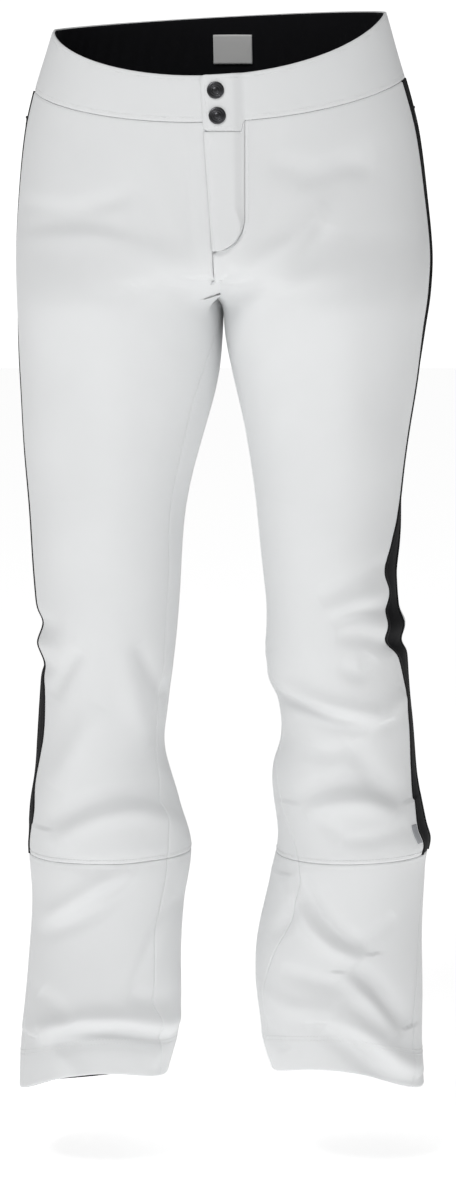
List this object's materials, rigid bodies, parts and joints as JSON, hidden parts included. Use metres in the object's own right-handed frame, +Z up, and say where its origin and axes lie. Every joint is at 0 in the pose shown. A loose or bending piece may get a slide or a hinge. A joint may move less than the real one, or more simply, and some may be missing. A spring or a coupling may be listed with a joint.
{
  "type": "ski pants",
  "caption": "White softshell boot-cut ski pants with a black side stripe, an overlapping waist tab on two snaps, a covered zip fly, zipped hip pockets and inner boot gaiters.",
  "frame": {"origin": "centre of the waist opening, level with the mean height of its two sides", "axes": "+Z up the wearer's body, -Y the wearer's front, +X the wearer's left"},
  "size_m": [0.4032, 0.2731, 1.0607],
  "materials": {
    "white_softshell": "matte woven",
    "black_softshell": "matte woven",
    "black_piping": "satin",
    "black_lining": "matte",
    "elastic": "ribbed",
    "zip_tape": "woven",
    "zip_plastic": "satin",
    "black_zip": "satin",
    "gunmetal": "brushed, dark plated",
    "nickel": "plated",
    "badge": "satin",
    "label": "satin"
  },
  "bodies": {
    "garment": {"back_panel_left": "white_softshell", "back_panel_right": "white_softshell", "back_yoke_left": "white_softshell", "back_yoke_right": "white_softshell", "calf_badge": "badge", "fly_facing_left": "white_softshell", "fly_shield": "white_softshell", "fly_zip_bottom_stop": "nickel", "fly_zip_tape_left": "zip_tape", "fly_zip_tape_right": "zip_tape", "fly_zip_teeth_left": "zip_plastic", "fly_zip_teeth_right": "zip_plastic", "fly_zip_top_stop_left": "nickel", "fly_zip_top_stop_right": "nickel", "front_panel_left": "white_softshell", "front_panel_right": "white_softshell", "gaiter_elastic_left": "elastic", "gaiter_elastic_right": "elastic", "gaiter_left": "black_lining", "gaiter_right": "black_lining", "hem_facing_left": "black_lining", "hem_facing_right": "black_lining", "lower_leg_back_left": "white_softshell", "lower_leg_back_right": "white_softshell", "lower_leg_front_left": "white_softshell", "lower_leg_front_right": "white_softshell", "pocket_bag_left": "black_lining", "pocket_bag_right": "black_lining", "pocket_zip_left": "black_zip", "pocket_zip_right": "black_zip", "side_stripe_left": "black_softshell", "side_stripe_right": "black_softshell", "size_label": "label", "snap_post_lower": "nickel", "snap_post_upper": "nickel", "snap_stud_lower": "nickel", "snap_stud_upper": "nickel", "stripe_piping_back_left": "black_piping", "stripe_piping_back_right": "black_piping", "stripe_piping_front_left": "black_piping", "stripe_piping_front_right": "black_piping", "waist_elastic": "elastic", "waistband_back": "white_softshell", "waistband_facing_back": "black_lining", "waistband_facing_left": "black_lining", "waistband_facing_right": "black_lining", "waistband_left": "white_softshell", "waistband_right": "white_softshell"},
    "flap": {"fly_flap": "white_softshell", "waist_tab": "white_softshell", "snap_cap_upper": "gunmetal", "snap_socket_upper": "nickel", "snap_cap_lower": "gunmetal", "snap_socket_lower": "nickel"},
    "fly_slider": {"fly_zip_slider": "nickel"},
    "fly_pull": {"fly_zip_pull": "nickel"},
    "pocket_slider_left": {"pocket_slider_left": "black_zip"},
    "pocket_pull_left": {"pocket_pull_left": "black_zip"},
    "pocket_slider_right": {"pocket_slider_right": "black_zip"},
    "pocket_pull_right": {"pocket_pull_right": "black_zip"}
  },
  "joints": [
    {"name": "fly_flap_hinge", "type": "hinge", "parent": "garment", "child": "flap", "pos_m": [0.0207, -0.10815, -0.1395], "axis": [0, 0.1398, 0.9902], "range_deg": [0, 140]},
    {"name": "fly_slide", "type": "slide", "parent": "garment", "child": "fly_slider", "axis": [0, -0.1338, -0.991], "range_m": [0, 0.1]},
    {"name": "fly_pull_hinge", "type": "hinge", "parent": "fly_slider", "child": "fly_pull", "pos_m": [-0.00236, -0.10573, -0.10985], "axis": [-1, 0, 0], "range_deg": [0, 5]},
    {"name": "pocket_slide_left", "type": "slide", "parent": "garment", "child": "pocket_slider_left", "axis": [0.1492, 0.0229, -0.9885], "range_m": [0, 0.098]},
    {"name": "pocket_pull_hinge_left", "type": "hinge", "parent": "pocket_slider_left", "child": "pocket_pull_left", "pos_m": [0.18243, 0.00012, -0.08803], "axis": [-0.1365, -0.9897, -0.0435], "range_deg": [0, 160]},
    {"name": "pocket_slide_right", "type": "slide", "parent": "garment", "child": "pocket_slider_right", "axis": [-0.0994, 0.0168, -0.9949], "range_m": [0, 0.098]},
    {"name": "pocket_pull_hinge_right", "type": "hinge", "parent": "pocket_slider_right", "child": "pocket_pull_right", "pos_m": [-0.18736, 0.0095, -0.09751], "axis": [0.0674, 0.9977, 0.0102], "range_deg": [0, 160]}
  ]
}
